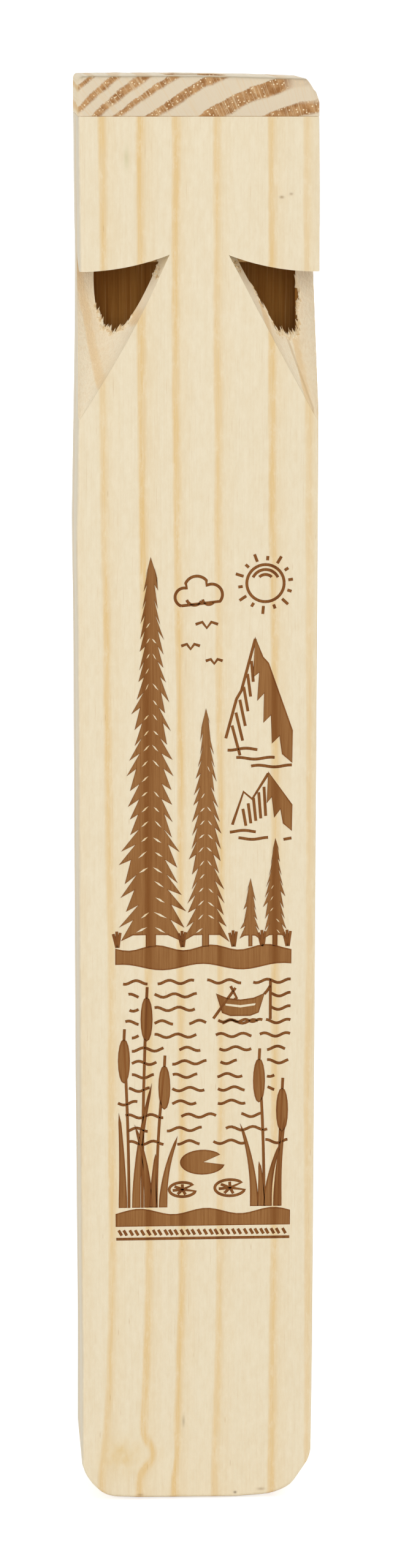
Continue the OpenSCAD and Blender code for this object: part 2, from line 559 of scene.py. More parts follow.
def capRings(tree, place, far):
    # each ring starts softly and ends sharply, and gets narrower towards the block
    wood = capWood
    starts, ends = [], []
    for start, end in wood["rings"]:
        for stops, rising, falling in ((starts, "softStart", "startShut"), (ends, "endShut", "sharpEnd")):
            stops += [(start + shift, level) for shift, level in zip(wood[rising], (0.0, 1.0))]
            stops += [(end + shift, level) for shift, level in zip(wood[falling], (1.0, 0.0))]
    narrow = minus(tree, far, spread(tree, place[2], wood["top"], wood["bottom"], 0.0, wood["taper"]))
    outer = steps(tree, far, ends, *wood["ringSpan"])
    inner = steps(tree, narrow, starts, *wood["ringSpan"])
    # the widest ring runs out short of the right corner
    corner = times(tree, spread(tree, place[0], *wood["cornerX"]), spread(tree, place[2], *wood["cornerZ"]))
    return times(tree, times(tree, outer, inner), spread(tree, corner, 0.0, 1.0, 1.0, wood["cornerLevel"]))


def makeCapPine():
    wood = capWood
    material, tree, shader = newFinish("capPine", *wood["surface"])
    place, facing = placeInMm(tree)
    dx = minus(tree, place[0], wood["pith"][0])
    dz = minus(tree, place[2], wood["pith"][1])
    far = calc(tree, "SQRT", plus(tree, times(tree, dx, dx), times(tree, dz, dz)))
    for look in ("wobble", "grit"):
        reach = wood[look + "Reach"]
        far = plus(tree, far, spread(tree, pattern(tree, place, wood[look]), 0.0, 1.0, -reach, reach))
    rings = capRings(tree, place, far)
    # rays run square to the rings, fine and close
    turn = times(tree, calc(tree, "ARCTAN2", dz, dx), wood["rayTurns"])
    rays = noise(tree, vector(tree, turn, times(tree, far, wood["rayStretch"]), 0.0), wood["rayDetail"])
    late = blend(tree, levels(tree, place, wood["patchy"]), wood["endDark"], wood["endLate"])
    cut = blend(tree, rings, wood["endPale"], late)
    cut = blend(tree, spread(tree, rays, *wood["rayLimits"], 0.0, wood["rayAmount"]), cut, wood["rayTone"])
    nearest = cells(tree, place, wood["canalScales"])
    canals = spread(tree, nearest, *wood["canalLimits"], 0.0, wood["canalAmount"])
    cut = blend(tree, times(tree, canals, rings), cut, wood["canalTone"])
    along = stain(tree, place, blend(tree, rings, wood["pale"], wood["late"]), wood["fibre"])
    colour = blend(tree, spread(tree, absolute(tree, facing[1]), *wood["endFacing"]), along, cut)
    # the top is painted greyer as shade, most along its front edge
    topShade = spread(tree, place[1], *wood["topShadeY"], *wood["topShadeAmount"])
    topShade = times(tree, spread(tree, facing[2], *wood["topShadeFacing"]), topShade)
    colour = blend(tree, topShade, colour, wood["topShadeTone"])
    dress(tree, shader, colour, plus(tree, rays, rings), *wood["bump"])
    return material


def makeGrainWood(name, look):
    # plain wood with one pattern of streaks, for the dowels and the torn fibres
    material, tree, shader = newFinish(name, *look["surface"])
    place = placeInMm(tree)[0]
    streak = pattern(tree, place, look)
    colour = blend(tree, spread(tree, streak, *look["limits"]), look["pale"], look["dark"])
    dress(tree, shader, colour, streak, *look["bump"])
    return material


dowelGrain = {
    "surface": (0.65, 0.25), "bump": (0.25, 0.15 * mm),
    "pale": tone(214, 178, 124), "dark": tone(190, 148, 94),
    "scales": (1.8, 1.8, 0.06), "detail": 4.0, "rough": 0.6, "limits": (0.3, 0.7),
}
shredGrain = {
    "surface": (0.8, 0.15), "bump": (0.2, 0.1 * mm),
    "pale": tone(244, 230, 200), "dark": tone(222, 192, 144),
    "scales": (1.5, 1.5, 0.6), "detail": 2.0, "limits": (0.35, 0.65),
}
fillBurn = {
    "surface": (0.8, 0.12), "bump": (0.3, 0.1 * mm),
    "early": tone(160, 113, 66), "late": tone(130, 80, 36), "tone": tone(132, 83, 40),
    "scales": (4.5, 4.5, 0.12), "detail": 4.0, "rough": 0.65, "limits": (0.36, 0.72), "amount": 0.8,
}
lineBurn = {**fillBurn, "early": tone(144, 92, 46), "late": tone(118, 68, 30), "tone": tone(112, 64, 28)}


def makeScorch(name, look):
    # burned wood, darker where it crosses the hard rings
    material, tree, shader = newFinish(name, *look["surface"])
    place = placeInMm(tree)[0]
    colour = blend(tree, ringSheets(tree, place), look["early"], look["late"])
    colour = stain(tree, place, colour, look)
    dress(tree, shader, colour, pattern(tree, place, look), *look["bump"])
    return material


blockPine = makePine()
cutPine = makeCutPine()
shadedBoreWood = makeShadedBoreWood()
capPine = makeCapPine()
dowelWood = makeGrainWood("dowelWood", dowelGrain)
tornFibre = makeGrainWood("tornFibre", shredGrain)
scorchFill = makeScorch("scorchFill", fillBurn)
scorchLine = makeScorch("scorchLine", lineBurn)
print("finishes made")


# the drilled block; its tables hold mm, the sanding ones the distance from a corner's middle by angle

block = {
    "width": 38 * mm, "depth": 25.4 * mm, "length": 227.6 * mm,
    "footLeft": 6 * mm, "footRight": 8 * mm, "footSegments": 12, "footTop": 10 * mm,
    "leftSide": [(9, 0.0), (25, -0.08), (40, 0.0), (69, 0.16), (129, 0.26), (148, 0.3), (160, 0.5),
                 (173, 0.26), (188, -0.05), (203, -0.2), (217, -0.08), (228, 0.0)],
    "rightSide": [(9, 0.0), (25, 0.16), (129, 0.22), (217, 0.2), (228, 0.0)],
    "sole": [(-13.0, 0.32), (-9.6, 0.15), (-3.0, 0.08), (2.0, 0.04), (6.5, 0.0), (11.0, 0.3)],
    "soleCuts": (-9.6, -3, 2, 6.5), "soleFacing": -0.99, "sideCuts": range(12, 224, 6),
    "leftSanding": [(0, 5.68), (27, 5.59), (42, 5.42), (63, 5.5), (83, 5.8), (90, 6.0)],
    "rightSanding": [(0, 7.7), (18, 7.56), (40, 7.59), (49, 7.35), (58, 7.3), (67, 7.43), (76, 7.74),
                     (90, 8.0)],
    "edge": 0.7 * mm, "edgeSegments": 4, "edgeReach": 1.05, "longestEdge": 10 * mm,
    "wearSeed": 20, "wear": 0.45, "wearFrom": 10, "wearFade": 8,
    "jointRim": 0.14 * mm, "rimSegments": 2, "smooth": 28, "cutPast": 1 * mm,
    "boreX": 8.8 * mm, "boreRadius": 7.5 * mm, "leftFloor": 18.3 * mm, "rightFloor": 49.3 * mm,
    "wander": 204.6 * mm, "boreOverlap": 0.2 * mm,
    "blowRadius": 5 * mm, "plenumFloor": 219.6 * mm,
    "tip": 179.6 * mm, "wall": 203.3 * mm, "reach": 14.2 * mm, "rise": 2.6 * mm,
    "bulge": {-1: 0.85 * mm, 1: 0.1 * mm}, "bulgeCuts": 9, "heightRounds": 6,
    "coneSides": 160, "coneTurn": 0.013, "ballSides": 160, "ballRings": 180, "ballTurn": 0.021,
}
rampSlope = block["reach"] / (block["wall"] - block["tip"] + block["rise"])

# each lip from above, in mm inwards from its corner edge: the bore as it comes out, and the torn edge

lips = {
    -1: {"bore": (10.3, 11.9, 7.5),
         "edge": [(8.8, 4.4), (8.2, 4.4), (7.6, 4.7), (6.8, 5.3), (5.6, 6.2), (4.35, 7.3), (4.0, 8.0),
                  (3.45, 9.1), (3.2, 10.0)]},
    1: {"bore": (10.2, 12.7, 7.5),
        "edge": [(10.15, 5.6), (9.55, 5.1), (9.05, 4.65), (8.4, 4.75), (7.8, 4.85), (7.15, 4.6), (6.65, 4.35),
                 (5.65, 4.9), (4.8, 5.4), (3.4, 6.5), (2.6, 7.1), (2.6, 8.2), (2.6, 9.1), (2.3, 10.0),
                 (2.2, 10.5), (2.65, 11.3)]},
}
tear = {"seed": 31, "step": 0.24, "bite": 0.2, "below": 1.2 * mm, "above": 0.3 * mm}


def windowCutter(side):
    # a bulged cone for the ramp, hollowed by a ball that leaves the wall above it domed
    x, y = side * block["width"] / 2, -block["depth"] / 2
    widest = block["reach"] + block["cutPast"]
    tall = widest * (block["wall"] - block["tip"] + block["rise"]) / block["reach"]
    dome = (block["reach"] ** 2 + block["rise"] ** 2) / (2 * block["rise"])
    deselectAll()
    bpy.ops.mesh.primitive_cone_add(vertices=block["coneSides"], radius1=0, radius2=widest, depth=tall,
                                    location=(x, y, block["tip"] + tall / 2),
                                    rotation=(0, 0, block["coneTurn"]))
    cone = bpy.context.object
    settle(cone)
    cuts = block["bulgeCuts"]
    sliceFaces(cone, everyFace, (0, 0, 1), [block["tip"] + tall * step / cuts for step in range(1, cuts)])
    for point in cone.data.vertices:
        arm = Vector((point.co.x - x, point.co.y - y, 0))
        share = (point.co.z - block["tip"]) / tall
        point.co += arm.normalized() * block["bulge"][side] * math.sin(math.pi * min(max(share, 0), 1))
    deselectAll()
    bpy.ops.mesh.primitive_uv_sphere_add(segments=block["ballSides"], ring_count=block["ballRings"],
                                         radius=dome, location=(x, y, block["wall"] + dome),
                                         rotation=(0, 0, block["ballTurn"]))
    ball = bpy.context.object
    settle(ball)
    for part in (cone, ball):
        part.data.materials.append(cutPine)
    cutAway(cone, ball)
    return cone


def tornEdge(side):
    # the lip broke back along the grain, in ragged steps
    dice = random.Random(tear["seed"] + side)
    edge = lips[side]["edge"]
    points = [edge[0]]
    for (x0, y0), (x1, y1) in zip(edge, edge[1:]):
        dx, dy = x1 - x0, y1 - y0
        long = math.hypot(dx, dy)
        count = max(2, int(long / tear["step"]))
        for step in range(1, count + 1):
            part = step / count
            bite = dice.uniform(-tear["bite"], tear["bite"])
            points.append((x0 + dx * part + dy / long * bite, y0 + dy * part - dx / long * bite))
    return points


def inFrame(side, point, z=0.0):
    return Vector((side * (block["width"] / 2 - point[0] * mm), point[1] * mm - block["depth"] / 2, z))


def rampHeight(side, far):
    # height of the ramp at a distance from the corner edge; it is bulged, so a few rounds are needed
    tall = (block["reach"] + block["cutPast"]) / rampSlope
    high = far / rampSlope
    for again in range(block["heightRounds"]):
        high = (far - block["bulge"][side] * math.sin(math.pi * min(high / tall, 1))) / rampSlope
    return block["tip"] + high


def lipBreaker(side):
    # an upright cutter whose outline is the torn edge, closed at the middle of the bore
    outline = [*tornEdge(side), lips[side]["bore"][:2]]
    ring = [inFrame(side, point) for point in outline]
    area = sum(first.x * second.y - second.x * first.y for first, second in zip(ring, ring[1:] + ring[:1]))
    if area < 0:
        ring.reverse()
    low = min(rampHeight(side, math.hypot(*point) * mm) for point in outline) - tear["below"]
    high = block["wall"] + tear["above"]
    deselectAll()
    bpy.ops.mesh.primitive_cylinder_add(vertices=len(ring), radius=1, depth=high - low,
                                        location=(0, 0, (low + high) / 2))
    breaker = bpy.context.object
    settle(breaker)
    for point in breaker.data.vertices:
        turn = math.atan2(point.co.y, point.co.x) / (2 * math.pi)
        target = ring[round(turn * len(ring)) % len(ring)]
        point.co.x, point.co.y = target.x, target.y
    breaker.data.materials.append(shadedBoreWood)
    return breaker


def sandFoot(body):
    # rounded by hand: a slightly bellied sole and flats on its corners
    corners = ((-1, block["footLeft"], block["leftSanding"]), (1, block["footRight"], block["rightSanding"]))
    for point in body.data.vertices:
        if point.co.z < tiny:
            point.co.z = between(block["sole"], point.co.x / mm) * mm
        for side, radius, table in corners:
            middle = block["width"] / 2 - radius
            out, down = side * point.co.x - middle, radius - point.co.z
            if out > tiny and down > tiny:
                turn = math.atan2(out, down)
                far = between(table, math.degrees(turn)) * mm
                point.co.x = side * (middle + far * math.sin(turn))
                point.co.z = radius - far * math.cos(turn)


def sideSway(side, z):
    # the sides are not quite flat; how far one stands out at a height
    return between(block["rightSide" if side > 0 else "leftSide"], z / mm) * mm


def wearSides(body):
    for point in body.data.vertices:
        side = 1 if point.co.x > 0 else -1
        point.co.x += side * sideSway(side, point.co.z)


def wearEdges(obj, limit, amount):
    # each long edge is eased more here and less there; the faces beside it stay flat
    near = block["edge"] * block["edgeReach"]
    for point in obj.data.vertices:
        side = 1 if point.co.x > 0 else -1
        end = 1 if point.co.y > 0 else -1
        inX, inY = limit(side, point.co.z) - abs(point.co.x), block["depth"] / 2 - abs(point.co.y)
        if point.co.z > block["footTop"] and inX < near and inY < near:
            scale = amount(side, end, point.co.z / mm)
            point.co.x += side * inX * (1 - scale)
            point.co.y += end * inY * (1 - scale)


def inFrontOrBack(first, second):
    return abs(abs(first.y) - block["depth"] / 2) < tiny and abs(first.y - second.y) < tiny


def makeBlock():
    half, top = block["width"] / 2, block["length"]

    def leftFoot(first, second):
        return max(first.z, second.z) < tiny and max(first.x, second.x) < -half + tiny

    def rightFoot(first, second):
        return max(first.z, second.z) < tiny and min(first.x, second.x) > half - tiny

    def jointRim(first, second):
        return min(first.z, second.z) > top - tiny

    def easedEdge(first, second):
        # not the joint's rim, and not the lines that the cuts left across a face
        across = abs(first.x - second.x) > block["longestEdge"]
        return inFrontOrBack(first, second) and not (jointRim(first, second) or across)

    def inSole(face):
        return face.normal.z < block["soleFacing"]

    def sideAt(side, z):
        return half + sideSway(side, z)

    def easing(side, end, z):
        fade = min((z - block["wearFrom"]) / block["wearFade"], 1)
        return 1.0 + block["wear"] * sway(block["wearSeed"] + 2 * side + end, z) * fade

    body = addBlock("pineBlock", (block["width"], block["depth"], top), top / 2, blockPine)
    bevelEdges(body, leftFoot, block["footLeft"], block["footSegments"])
    bevelEdges(body, rightFoot, block["footRight"], block["footSegments"])
    sliceFaces(body, inSole, (1, 0, 0), [x * mm for x in block["soleCuts"]])
    sandFoot(body)
    sliceFaces(body, everyFace, (0, 0, 1), [z * mm for z in block["sideCuts"]])
    wearSides(body)
    bevelEdges(body, easedEdge, block["edge"], block["edgeSegments"])
    wearEdges(body, sideAt, easing)
    bevelEdges(body, jointRim, block["jointRim"], block["rimSegments"])
    # each bit wandered a little below the place where its plug sits
    past = top + block["cutPast"]
    cutAway(body, drill(0, 0, block["plenumFloor"], past, block["blowRadius"], shadedBoreWood))
    for side, floor in ((-1, block["leftFloor"]), (1, block["rightFloor"])):
        low = block["wander"] - block["boreOverlap"]
        cutAway(body, drill(side * block["boreX"], 0, low, past, block["boreRadius"], shadedBoreWood))
        outlet = inFrame(side, lips[side]["bore"])
        cutAway(body, drill(outlet.x, outlet.y, floor, block["wander"], lips[side]["bore"][2] * mm, shadedBoreWood))
    for side in (-1, 1):
        cutAway(body, windowCutter(side))
        cutAway(body, lipBreaker(side))
    smoothOver(body, block["smooth"])
    return body


pineBlock = makeBlock()
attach(pineBlock, "root")
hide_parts("body")
print("block made", len(pineBlock.data.polygons))


# the cap over the drilled end

cap = {
    "height": 6.3 * mm, "left": 0.8 * mm, "leftSegments": 6,
    "right": 3.6 * mm, "rightIn": 2.1 * mm, "rightSegments": 10, "rightProfile": 0.32,
    "crown": [(-19.0, -0.08), (-8.0, 0.0), (0.0, 0.0), (6.0, -0.12), (19.0, -0.5)],
    "slices": 40, "sliceSteps": range(3, 38), "aboveJoint": 1 * mm,
    "waves": 0.06 * mm, "waveRate": 4, "frontSeed": 7, "backSeed": 8,
    "edge": 0.7 * mm, "edgeSegments": 4, "wornEdge": 1.5, "plainEdge": 0.8,
    "jointRim": 0.12 * mm, "rimSegments": 2, "smooth": 32,
}


def makeCap():
    half, low = block["width"] / 2, block["length"]
    high = low + cap["height"]

    def leftTop(first, second):
        return min(first.z, second.z) > high - tiny and max(first.x, second.x) < -half + tiny

    def rightTop(first, second):
        return min(first.z, second.z) > high - tiny and min(first.x, second.x) > half - tiny

    def inSide(first, second):
        return abs(first.x - second.x) < tiny and abs(abs(first.x) - half) < tiny

    def easedEdge(first, second):
        onTop = min(first.z, second.z) > low + cap["aboveJoint"]
        atSide = min(abs(first.x), abs(second.x)) > half - tiny
        return inFrontOrBack(first, second) and (onTop or atSide)

    def jointRim(first, second):
        atJoint = max(first.z, second.z) < low + tiny
        return atJoint and (inFrontOrBack(first, second) or inSide(first, second))

    def easing(side, end, z):
        # the left front edge is worn most
        return cap["wornEdge"] if side < 0 and end < 0 else cap["plainEdge"]

    lid = addBlock("mouthCap", (block["width"], block["depth"], cap["height"]), (low + high) / 2, capPine)
    bevelEdges(lid, leftTop, cap["left"], cap["leftSegments"])
    bevelEdges(lid, rightTop, cap["right"], cap["rightSegments"], cap["rightProfile"])
    for point in lid.data.vertices:
        if point.co.x > half - cap["right"] - tiny:
            point.co.x = half - (half - point.co.x) * cap["rightIn"] / cap["right"]
    # slices across it, so that its top can be sanded a little uneven
    cuts = [-half + block["width"] * step / cap["slices"] for step in cap["sliceSteps"]]
    sliceFaces(lid, everyFace, (1, 0, 0), cuts)
    for point in lid.data.vertices:
        if point.co.z > low + cap["aboveJoint"]:
            seed = cap["frontSeed"] if point.co.y < 0 else cap["backSeed"]
            dip = cap["waves"] * (1 + sway(seed, point.co.x / mm * cap["waveRate"]))
            point.co.z += between(cap["crown"], point.co.x / mm) * mm - dip
    bevelEdges(lid, easedEdge, cap["edge"], cap["edgeSegments"])
    wearEdges(lid, lambda side, z: half, easing)
    bevelEdges(lid, jointRim, cap["jointRim"], cap["rimSegments"])
    cutAway(lid, drill(0, 0, low - block["cutPast"], high + block["cutPast"], block["blowRadius"], capPine))
    smoothOver(lid, cap["smooth"])
    return lid


mouthCap = makeCap()
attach(mouthCap, "root")
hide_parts("mouth_cap")
print("cap made", len(mouthCap.data.polygons))

for name in ("left_fipple_plug", "right_fipple_plug"):
    onlyFinish(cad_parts[name], dowelWood)


# torn fibres along the lower lip of each window, and a few loose tufts out on the ramp

fibres = {
    "seed": 11, "count": 120, "tufts": 22, "sides": 5, "tip": 0.12,
    "length": {-1: (0.2 * mm, 0.9 * mm), 1: (0.35 * mm, 1.7 * mm)}, "shortest": 0.45, "varying": 0.55,
    "width": (0.1 * mm, 0.32 * mm), "flat": 0.35,
    "boreMargin": 0.3, "scatter": 0.12, "lean": 0.35, "leanShare": 0.6,
    "tuftTurn": (6, 22), "tuftFar": (12.6, 13.7),
    "tuftAcross": 0.5, "tuftOut": -0.8, "tuftClimb": (-0.4, 0.6),
    "root": 0.35 * mm, "sunk": 0.02 * mm,
}


def makeShred(point, direction, heading, long, wide):
    deselectAll()
    bpy.ops.mesh.primitive_cone_add(vertices=fibres["sides"], radius1=1, radius2=fibres["tip"], depth=1,
                                    location=(0, 0, 0.5))
    shred = bpy.context.object
    settle(shred)
    across = heading.cross(direction).normalized()
    thin = across.cross(heading).normalized()
    axes = (across * wide, thin * wide * fibres["flat"], heading * (long + fibres["root"]))
    pose = Matrix(axes).transposed().to_4x4()
    pose.translation = point - heading * fibres["root"] - direction * fibres["sunk"]
    shred.matrix_world = pose
    return shred


def makeFibres(side, name):
    dice = random.Random(fibres["seed"] + side)
    shreds = []
    bore = lips[side]["bore"]
    bare = [point for point in tornEdge(side) if math.dist(point, bore[:2]) > bore[2] - fibres["boreMargin"]]
    scatter, lean, across = fibres["scatter"], fibres["lean"], fibres["tuftAcross"]
    for index in range(fibres["count"] + fibres["tufts"]):
        isTuft = index >= fibres["count"]
        if isTuft:
            turn, far = math.radians(dice.uniform(*fibres["tuftTurn"])), dice.uniform(*fibres["tuftFar"])
            root = (far * math.cos(turn), far * math.sin(turn))
        else:
            root = bare[int(index * len(bare) / fibres["count"])]
            root = (root[0] + dice.uniform(-scatter, scatter), root[1] + dice.uniform(-scatter, scatter))
        point = inFrame(side, root, rampHeight(side, math.hypot(*root) * mm))
        direction = Vector((-side * root[0], root[1], 0)).normalized()
        climb = (direction * rampSlope + Vector((0, 0, 1))).normalized()
        if isTuft:
            aim = (dice.uniform(-across, across), fibres["tuftOut"], dice.uniform(*fibres["tuftClimb"]))
            climb = Vector(aim).normalized()
        long = dice.uniform(*fibres["length"][side])
        long *= fibres["shortest"] + fibres["varying"] * dice.random()
        wide = dice.uniform(*fibres["width"])
        bent = Vector((dice.uniform(-lean, lean), dice.uniform(-lean, lean), 0))
        heading = (climb + bent * fibres["leanShare"]).normalized()
        shreds.append(makeShred(point, direction, heading, long, wide))
    fringe = joinAll(shreds, name)
    onlyFinish(fringe, tornFibre)
    pickOnly(fringe)
    bpy.ops.object.mode_set(mode="EDIT")
    bpy.ops.mesh.select_all(action="SELECT")
    bpy.ops.mesh.normals_make_consistent(inside=False)
    bpy.ops.object.mode_set(mode="OBJECT")
    return fringe


for side, name in ((-1, "leftLipFibres"), (1, "rightLipFibres")):
    fringe = makeFibres(side, name)
    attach(fringe, "root")
print("fibres made")


# the burned picture on the front, in mm: a lake shore with spruces, hills, a boat, reeds and a sun

picture = {
    "seed": 23, "face": -12.7 * mm, "lift": 2.2, "left": -13.3, "right": 15.2,
    "line": 0.24 * mm, "rim": 0.14 * mm, "lineHeight": 0.05 * mm,
    "proud": 0.02 * mm, "thick": 0.05 * mm, "layerStep": 0.0005 * mm,
    "shore": 91.6, "farShore": 88.6, "grass": (-13.0, -2.4, 5.9, 10.6, 14.7), "grassLean": (-0.5, -0.1, 0.3),
    # middle, top, half width and branches
    "spruces": [(-7.6, 155.6, 5.7, 25), (1.3, 131.0, 3.7, 17), (12.6, 109.6, 2.5, 9), (8.6, 103.0, 1.8, 6)],
    "sun": (10.8, 151.4), "rays": 14, "rayTurn": 8, "rayFrom": 3.7, "rayLong": 5.0, "rayShort": 4.4,
    # middle and scale
    "birds": [(1.4, 144.2, 1.2), (-1.2, 140.8, 1.0), (2.6, 138.4, 0.9)],
    # foot, height of the head and lean
    "reeds": [(-11.2, 76.0, -0.8), (-9.0, 83.0, 0.7), (-6.7, 71.5, 1.3),
              (11.0, 72.5, -0.9), (13.4, 67.5, 0.5)],
    "reedFoot": 48.0, "headPoints": 16, "headTurn": 0.3927,
    "blades": [(-12.2, 64.0, -0.6), (-10.0, 69.0, 2.6), (-8.0, 62.0, -2.2), (-5.6, 60.0, 2.4),
               (-7.2, 57.0, 0.4), (9.4, 62.0, -2.3), (11.6, 58.5, 2.0), (13.2, 63.0, 1.2),
               (10.6, 55.5, -0.4)],
    "bladeFoot": 48.1, "bladeHalf": 0.6, "bladeNarrowing": 0.55,
    # middle and radius; the largest is burned, the others have veins
    "pads": [(0.9, 55.6, 3.6), (5.4, 51.2, 2.5), (-2.4, 51.0, 2.2)], "burnedPad": 3, "padFlat": 0.55,
    "veins": (1.6, 2.5, 3.3, 4.2, 5.0),
    "ripples": 13, "rippleTop": 86.0, "rippleStep": 2.25, "boatWater": (2.0, 12.0, 79.6, 85.6),
    "bank": 47.2, "bankFoot": 44.9, "hatchTop": 44.2, "hatchFoot": 43.3, "border": 42.7,
}


def traced(outlines, name, closed):
    curve = bpy.data.curves.new(name, "CURVE")
    for points in outlines:
        line = curve.splines.new("POLY")
        line.points.add(len(points) - 1)
        for point, (x, z) in zip(line.points, points):
            point.co = (x * mm, (z + picture["lift"]) * mm, 0, 1)
        line.use_cyclic_u = closed
    return curve


def ontoFront(curve, depth, squash=1.0):
    shape = bpy.data.objects.new(curve.name, curve)
    bpy.context.collection.objects.link(shape)
    pickOnly(shape)
    bpy.ops.object.convert(target="MESH")
    shape = bpy.context.object
    upright = Matrix.Rotation(math.radians(90), 4, "X")
    shape.matrix_world = Matrix.Translation((0, depth, 0)) @ upright @ Matrix.Diagonal((1, 1, squash, 1))
    settle(shape)
    return shape


def filledShape(outlines, name, layer):
    # the first outline is burned, later ones stay bare inside it; each layer stands a hair higher
    curve = traced(outlines, name, True)
    curve.dimensions = "2D"
    curve.fill_mode = "BOTH"
    curve.extrude = picture["thick"]
    surface = picture["face"] + picture["thick"] - picture["proud"]
    return ontoFront(curve, surface - layer * picture["layerStep"])


def drawnLines(strokes, name, width, closed=False):
    curve = traced(strokes, name, closed)
    curve.dimensions = "3D"
    curve.bevel_depth = width
    curve.bevel_resolution = 1
    curve.use_fill_caps = True
    return ontoFront(curve, picture["face"], picture["lineHeight"] / width)


def spruce(dice, x, low, high, wide, branches):
    # a jagged outline of drooping branches, with slits of bare wood between them
    floor = low + 1.6
    step = (high - floor) / branches
    edges, lastNotch, slits = {1: [], -1: []}, {1: 0.0, -1: 0.0}, []
    for index in range(branches):
        part = (index + 1) / branches
        z = high - step * (index + 1)
        for side, edge in edges.items():
            span = wide * (0.12 + 0.88 * part ** 0.85) * dice.uniform(0.72, 1.06)
            notch = span * dice.uniform(0.48, 0.62)
            edge.append((x + side * span, z - dice.uniform(0.0, 0.35) * step))
            edge.append((x + side * notch, z + 0.3 * step))
            tip = 0.86 * min(notch, lastNotch[side])
            if tip > 0.7 and dice.random() < 0.85:
                root = tip * dice.uniform(0.12, 0.35)
                upper, lower = z + dice.uniform(0.72, 0.86) * step, z + dice.uniform(0.36, 0.46) * step
                middle, half = (upper + lower) / 2, 0.08 * step
                centre = x + side * (root + tip) / 2
                slits.append([(x + side * root, upper), (centre, middle + half),
                              (x + side * tip, lower), (centre, middle - half)])
            lastNotch[side] = notch
    trunk, crotch, ground = 0.13 * wide, floor + 0.3 * step, low + 0.3
    foot = [(x + trunk, crotch), (x + trunk, ground), (x - trunk, ground), (x - trunk, crotch)]
    return [[(x, high), *edges[1], *foot, *reversed(edges[-1])], *slits]


def wavy(x0, x1, z, height, length, phase=0.0, parts=26):
    places = [x0 + (x1 - x0) * i / parts for i in range(parts + 1)]
    return [(x, z + height * math.sin(x * fullTurn / length + phase)) for x in places]


def around(x, z, radius, turn, flat=1.0):
    return (x + radius * math.cos(turn), z + flat * radius * math.sin(turn))


def arc(x, z, radius, start, end, parts=24, flat=1.0):
    turns = [math.radians(start + (end - start) * i / parts) for i in range(parts + 1)]
    return [around(x, z, radius, turn, flat) for turn in turns]


def drawSky(lines):
    sun = picture["sun"]
    lines += [arc(*sun, 3.0, 0, 360, 36), arc(*sun, 2.2, 25, 155), arc(*sun, 1.4, 45, 135)]
    for i in range(picture["rays"]):
        turn = math.radians(i * 360 / picture["rays"] + picture["rayTurn"])
        far = picture["rayShort"] if i % 2 else picture["rayLong"]
        far = min(far, (picture["right"] - sun[0]) / max(math.cos(turn), 0.1))
        lines.append([around(*sun, picture["rayFrom"], turn), around(*sun, far, turn)])
    # a cloud drawn as one run of puffs, with two folds inside
    lines.append([*arc(-2.2, 149.2, 1.5, 250, 75), *arc(-0.2, 150.6, 2.0, 155, 40),
                  *arc(2.2, 149.6, 1.7, 120, -40), (-2.7, 147.8)])
    lines += [arc(-0.6, 149.2, 1.3, 200, 330, 12), arc(1.7, 149.0, 1.0, 190, 320, 12)]
    for x, z, scale in picture["birds"]:
        wing, bend = 1.5 * scale, 0.6 * scale
        tip, top = z + 0.5 * scale, z + 0.8 * scale
        lines.append([(x - wing, tip), (x - bend, top), (x, z), (x + bend, top), (x + wing, tip)])


def drawHills(fills, lines):
    right = picture["right"]
    # each hill is a ridge line with its far side in shade
    lines.append([(4.5, 126.2), (6.2, 132.6), (7.0, 134.0), (9.2, 142.4)])
    fills.append([[(9.2, 142.6), (10.4, 139.4), (11.3, 138.4), (right, 127.4), (right, 122.2), (13.7, 123.6),
                   (13.2, 126.6), (12.0, 125.4), (11.8, 130.0), (10.6, 128.8), (10.7, 133.6), (9.6, 132.4),
                   (9.9, 137.0), (8.9, 136.2)]])
    for i in range(6):
        lines.append([(8.6 - i * 0.62, 138.8 - i * 2.1), (8.9 - i * 0.42, 135.4 - i * 2.4)])
    lines.append([(5.6, 112.0), (7.4, 117.4), (8.8, 116.2), (11.4, 120.4)])
    fills.append([[(11.4, 120.6), (right, 115.2), (right, 111.0), (13.9, 112.2), (13.4, 114.6), (12.4, 113.2),
                   (12.0, 116.6), (11.2, 115.6)]])
    for i in range(5):
        lines.append([(10.7 - i * 0.85, 118.2 - i * 0.9), (11.0 - i * 0.8, 113.4 - i * 0.4)])
    # mist along the foot of each hill
    mist = ((4.8, 9.6, 124.4), (6.2, 12.4, 122.9), (8.6, right, 121.6),
            (5.2, 9.4, 110.9), (6.6, 11.4, 109.7), (13.9, right, 109.6))
    for x0, x1, z in mist:
        lines.append(wavy(x0, x1, z, 0.15, 5.2, x0))


def drawShore(fills, lines):
    left, right, shore = picture["left"], picture["right"], picture["shore"]
    for x in picture["grass"]:
        for lean in picture["grassLean"]:
            lines.append([(x + lean * 0.3, shore + 0.2), (x + lean * 1.4, shore + 3.0 - abs(lean))])
    water = wavy(left, right, picture["farShore"], 0.5, 13.0, 1.2)
    fills.append([wavy(left, right, shore, 0.45, 9.0) + list(reversed(water))])


def drawWater(dice, lines):
    # broken ripples that stop short of the boat and the reed heads
    keepOff = [picture["boatWater"]]
    for x, top, lean in picture["reeds"]:
        keepOff.append((x + lean - 1.3, x + lean + 1.3, top - 7.4, top + 2.9))
    for row in range(picture["ripples"]):
        z = picture["rippleTop"] - row * picture["rippleStep"]
        x = picture["left"] + dice.uniform(0.3, 2.5)
        while x < picture["right"] - 1.2:
            end = min(x + dice.uniform(2.6, 7.0), picture["right"])
            after = end + dice.uniform(0.9, 2.2) * (1 + row * 0.12)
            for low, high, floor, top in sorted(keepOff):
                if floor < z < top and x < high and end > low:
                    end, after = min(end, low), max(high, x + 0.1)
                    break
            if end - x > 1.0:
                lines.append(wavy(x, end, z, 0.3, 3.6, dice.uniform(0, 6), 14))
            x = after


